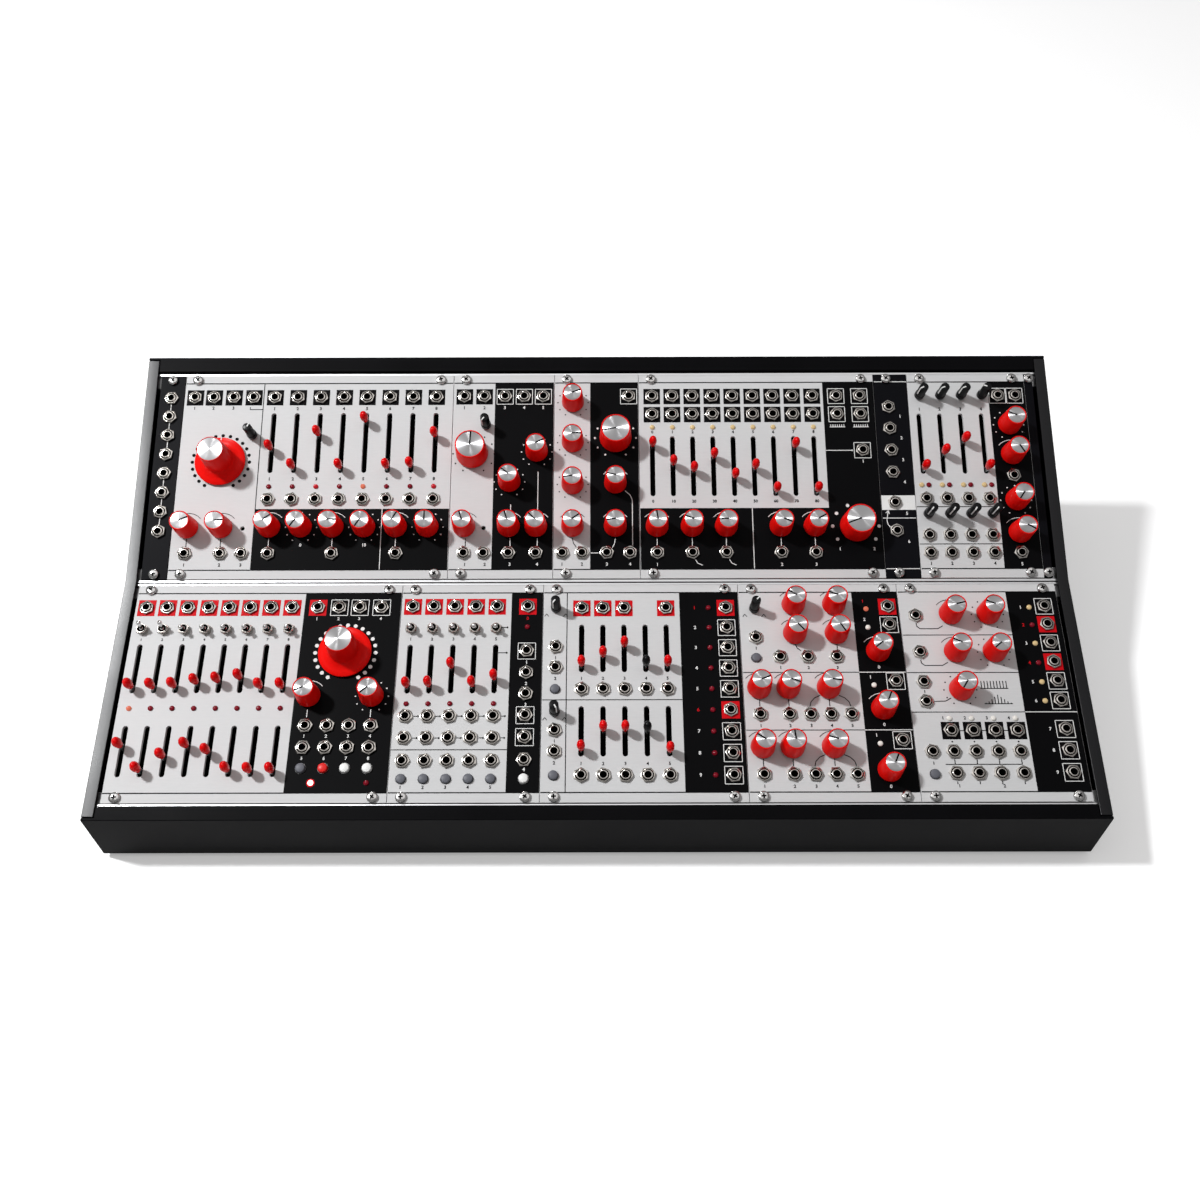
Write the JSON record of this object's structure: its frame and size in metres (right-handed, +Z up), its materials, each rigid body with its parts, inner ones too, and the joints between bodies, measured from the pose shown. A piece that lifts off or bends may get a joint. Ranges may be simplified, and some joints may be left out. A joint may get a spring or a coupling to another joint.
{
  "type": "modular synthesizer",
  "caption": "Desktop modular synthesizer: two sloped rows of panel modules with red knobs, sliders, jacks, switches and buttons in a black folded steel case.",
  "frame": {"origin": "on the table, at the bottom centre of the bounding box", "axes": "+X along the rows to the right, +Y to the rear, +Z up"},
  "size_m": [0.545, 0.2682, 0.1339],
  "materials": {
    "black_steel": "satin",
    "rail_aluminium": "satin",
    "light_panel": "satin",
    "dark_panel": "satin",
    "red_plastic": "gloss",
    "black_plastic": "matte",
    "grey_plastic": "matte",
    "board": "matte",
    "bright_metal": "polished",
    "foot_rubber": "matte"
  },
  "bodies": {
    "synthesizer": {"case_tray": "black_steel", "left_case_side": "black_steel", "right_case_side": "black_steel", "front_row_lower_rail": "rail_aluminium", "front_row_upper_rail": "rail_aluminium", "multistage_sequencer_module": "light_panel", "stage_selector_module": "light_panel", "multi_envelope_module": "light_panel", "voltage_processor_module": "light_panel", "random_sampler_module": "light_panel", "rear_row_lower_rail": "rail_aluminium", "rear_row_upper_rail": "rail_aluminium", "passive_multiple_module": "dark_panel", "harmonic_oscillator_module": "light_panel", "dual_waveform_oscillator_module": "light_panel", "amplifier_and_tone_module": "light_panel", "multitap_delay_module": "light_panel", "noise_and_filter_module": "dark_panel", "scan_and_pan_module": "light_panel", "blank_panel_module": "dark_panel", "power_bus_board": "board", "front_left_foot": "foot_rubber", "rear_left_foot": "foot_rubber", "front_right_foot": "foot_rubber", "rear_right_foot": "foot_rubber", "power_inlet": "bright_metal", "power_switch_housing": "black_plastic"},
    "stage_time_knob": {"stage_time_knob": "red_plastic"},
    "pulse_width_knob": {"pulse_width_knob": "red_plastic"},
    "stage_5_upper_slider": {"stage_5_upper_slider": "red_plastic"},
    "stage_3_lower_slider": {"stage_3_lower_slider": "red_plastic"},
    "stage_1_toggle": {"stage_1_toggle": "bright_metal"},
    "stop_button": {"stop_button": "grey_plastic"},
    "choice_3_slider": {"choice_3_slider": "red_plastic"},
    "choice_1_toggle": {"choice_1_toggle": "bright_metal"},
    "choice_1_button": {"choice_1_button": "grey_plastic"},
    "curve_knob": {"curve_knob": "black_plastic"},
    "segment_3_slider": {"segment_3_slider": "red_plastic"},
    "gate_button": {"gate_button": "grey_plastic"},
    "input_1_knob": {"input_1_knob": "red_plastic"},
    "correlation_knob": {"correlation_knob": "red_plastic"},
    "trigger_button": {"trigger_button": "grey_plastic"},
    "coarse_tuning_knob": {"coarse_tuning_knob": "red_plastic"},
    "modulation_depth_knob": {"modulation_depth_knob": "red_plastic"},
    "scan_width_knob": {"scan_width_knob": "red_plastic"},
    "fine_tuning_knob": {"fine_tuning_knob": "black_plastic"},
    "harmonic_1_slider": {"harmonic_1_slider": "red_plastic"},
    "harmonic_5_slider": {"harmonic_5_slider": "red_plastic"},
    "pitch_knob": {"pitch_knob": "red_plastic"},
    "timbre_knob": {"timbre_knob": "red_plastic"},
    "pitch_trim_knob": {"pitch_trim_knob": "black_plastic"},
    "amplitude_knob": {"amplitude_knob": "red_plastic"},
    "cutoff_knob": {"cutoff_knob": "red_plastic"},
    "delay_time_knob": {"delay_time_knob": "red_plastic"},
    "feedback_knob": {"feedback_knob": "red_plastic"},
    "tap_1_slider": {"tap_1_slider": "red_plastic"},
    "scan_position_knob": {"scan_position_knob": "red_plastic"},
    "pan_1_knob": {"pan_1_knob": "black_plastic"},
    "channel_3_slider": {"channel_3_slider": "red_plastic"},
    "power_switch_rocker": {"power_switch_rocker": "black_plastic"}
  },
  "joints": [
    {"name": "stage_time_knob_turn", "type": "hinge", "parent": "synthesizer", "child": "stage_time_knob", "pos_m": [-0.14133, -0.04064, 0.0627], "axis": [0, -0.2334, 0.9724], "range_deg": [-150, 150]},
    {"name": "pulse_width_knob_turn", "type": "hinge", "parent": "synthesizer", "child": "pulse_width_knob", "pos_m": [-0.12426, -0.06588, 0.05664], "axis": [0, -0.2334, 0.9724], "range_deg": [-280, 20]},
    {"name": "stage_5_upper_slider_slide", "type": "slide", "parent": "synthesizer", "child": "stage_5_upper_slider", "axis": [0, 0.9724, 0.2334], "range_m": [-0.00351, 0.01991]},
    {"name": "stage_3_lower_slider_slide", "type": "slide", "parent": "synthesizer", "child": "stage_3_lower_slider", "axis": [0, 0.9724, 0.2334], "range_m": [-0.00806, 0.01498]},
    {"name": "stage_1_toggle_throw", "type": "hinge", "parent": "synthesizer", "child": "stage_1_toggle", "pos_m": [-0.25761, -0.0275, 0.06853], "axis": [1, 0, 0], "range_deg": [0, 28]},
    {"name": "stop_button_press", "type": "slide", "parent": "synthesizer", "child": "stop_button", "axis": [0, 0.2334, -0.9724], "range_m": [0, 0.001], "stiffness_N_per_m": 300},
    {"name": "choice_3_slider_slide", "type": "slide", "parent": "synthesizer", "child": "choice_3_slider", "axis": [0, 0.9724, 0.2334], "range_m": [-0.01242, 0.01101]},
    {"name": "choice_1_toggle_throw", "type": "hinge", "parent": "synthesizer", "child": "choice_1_toggle", "pos_m": [-0.10509, -0.02725, 0.06859], "axis": [1, 0, 0], "range_deg": [-28, 0]},
    {"name": "choice_1_button_press", "type": "slide", "parent": "synthesizer", "child": "choice_1_button", "axis": [0, 0.2334, -0.9724], "range_m": [0, 0.001], "stiffness_N_per_m": 300},
    {"name": "curve_knob_turn", "type": "hinge", "parent": "synthesizer", "child": "curve_knob", "pos_m": [-0.0231, -0.01452, 0.06897], "axis": [0, -0.2334, 0.9724], "range_deg": [-295, 5]},
    {"name": "segment_3_slider_slide", "type": "slide", "parent": "synthesizer", "child": "segment_3_slider", "axis": [0, 0.9724, 0.2334], "range_m": [-0.01244, 0.0106]},
    {"name": "gate_button_press", "type": "slide", "parent": "synthesizer", "child": "gate_button", "axis": [0, 0.2334, -0.9724], "range_m": [0, 0.001], "stiffness_N_per_m": 300},
    {"name": "input_1_knob_turn", "type": "hinge", "parent": "synthesizer", "child": "input_1_knob", "pos_m": [0.08987, -0.06188, 0.0576], "axis": [0, -0.2334, 0.9724], "range_deg": [-81, 219]},
    {"name": "correlation_knob_turn", "type": "hinge", "parent": "synthesizer", "child": "correlation_knob", "pos_m": [0.20134, -0.0184, 0.06804], "axis": [0, -0.2334, 0.9724], "range_deg": [-73, 227]},
    {"name": "trigger_button_press", "type": "slide", "parent": "synthesizer", "child": "trigger_button", "axis": [0, 0.2334, -0.9724], "range_m": [0, 0.001], "stiffness_N_per_m": 300},
    {"name": "coarse_tuning_knob_turn", "type": "hinge", "parent": "synthesizer", "child": "coarse_tuning_knob", "pos_m": [-0.22356, 0.07071, 0.10276], "axis": [0, -0.3987, 0.9171], "range_deg": [-150, 150]},
    {"name": "modulation_depth_knob_turn", "type": "hinge", "parent": "synthesizer", "child": "modulation_depth_knob", "pos_m": [-0.21966, 0.03276, 0.08626], "axis": [0, -0.3987, 0.9171], "range_deg": [-62, 238]},
    {"name": "scan_width_knob_turn", "type": "hinge", "parent": "synthesizer", "child": "scan_width_knob", "pos_m": [-0.17317, 0.03311, 0.08641], "axis": [0, -0.3987, 0.9171], "range_deg": [-295, 5]},
    {"name": "fine_tuning_knob_turn", "type": "hinge", "parent": "synthesizer", "child": "fine_tuning_knob", "pos_m": [-0.20568, 0.08614, 0.10947], "axis": [0, -0.3987, 0.9171], "range_deg": [-125, 175]},
    {"name": "harmonic_1_slider_slide", "type": "slide", "parent": "synthesizer", "child": "harmonic_1_slider", "axis": [0, 0.9171, 0.3987], "range_m": [-0.012, 0.02043]},
    {"name": "harmonic_5_slider_slide", "type": "slide", "parent": "synthesizer", "child": "harmonic_5_slider", "axis": [0, 0.9171, 0.3987], "range_m": [-0.02983, 0.00259]},
    {"name": "pitch_knob_turn", "type": "hinge", "parent": "synthesizer", "child": "pitch_knob", "pos_m": [-0.07398, 0.0753, 0.10476], "axis": [0, -0.3987, 0.9171], "range_deg": [-147, 153]},
    {"name": "timbre_knob_turn", "type": "hinge", "parent": "synthesizer", "child": "timbre_knob", "pos_m": [-0.03558, 0.07624, 0.10517], "axis": [0, -0.3987, 0.9171], "range_deg": [-85, 215]},
    {"name": "pitch_trim_knob_turn", "type": "hinge", "parent": "synthesizer", "child": "pitch_trim_knob", "pos_m": [-0.06606, 0.09168, 0.11188], "axis": [0, -0.3987, 0.9171], "range_deg": [-290, 10]},
    {"name": "amplitude_knob_turn", "type": "hinge", "parent": "synthesizer", "child": "amplitude_knob", "pos_m": [0.01138, 0.08438, 0.1087], "axis": [0, -0.3987, 0.9171], "range_deg": [-250, 50]},
    {"name": "cutoff_knob_turn", "type": "hinge", "parent": "synthesizer", "child": "cutoff_knob", "pos_m": [-0.01412, 0.08167, 0.10752], "axis": [0, -0.3987, 0.9171], "range_deg": [-60, 240]},
    {"name": "delay_time_knob_turn", "type": "hinge", "parent": "synthesizer", "child": "delay_time_knob", "pos_m": [0.15185, 0.03288, 0.08631], "axis": [0, -0.3987, 0.9171], "range_deg": [-261, 39]},
    {"name": "feedback_knob_turn", "type": "hinge", "parent": "synthesizer", "child": "feedback_knob", "pos_m": [0.10776, 0.033, 0.08636], "axis": [0, -0.3987, 0.9171], "range_deg": [-37, 263]},
    {"name": "tap_1_slider_slide", "type": "slide", "parent": "synthesizer", "child": "tap_1_slider", "axis": [0, 0.9171, 0.3987], "range_m": [-0.02883, 0.0032]},
    {"name": "scan_position_knob_turn", "type": "hinge", "parent": "synthesizer", "child": "scan_position_knob", "pos_m": [0.24706, 0.09156, 0.11183], "axis": [0, -0.3987, 0.9171], "range_deg": [-218, 82]},
    {"name": "pan_1_knob_turn", "type": "hinge", "parent": "synthesizer", "child": "pan_1_knob", "pos_m": [0.19457, 0.03971, 0.08928], "axis": [0, -0.3987, 0.9171], "range_deg": [-290, 10]},
    {"name": "channel_3_slider_slide", "type": "slide", "parent": "synthesizer", "child": "channel_3_slider", "axis": [0, 0.9171, 0.3987], "range_m": [-0.01758, 0.01497]},
    {"name": "power_switch_rocker_throw", "type": "hinge", "parent": "synthesizer", "child": "power_switch_rocker", "pos_m": [-0.15, 0.13257, 0.0433], "axis": [1, 0, 0], "range_deg": [-16, 0]}
  ]
}
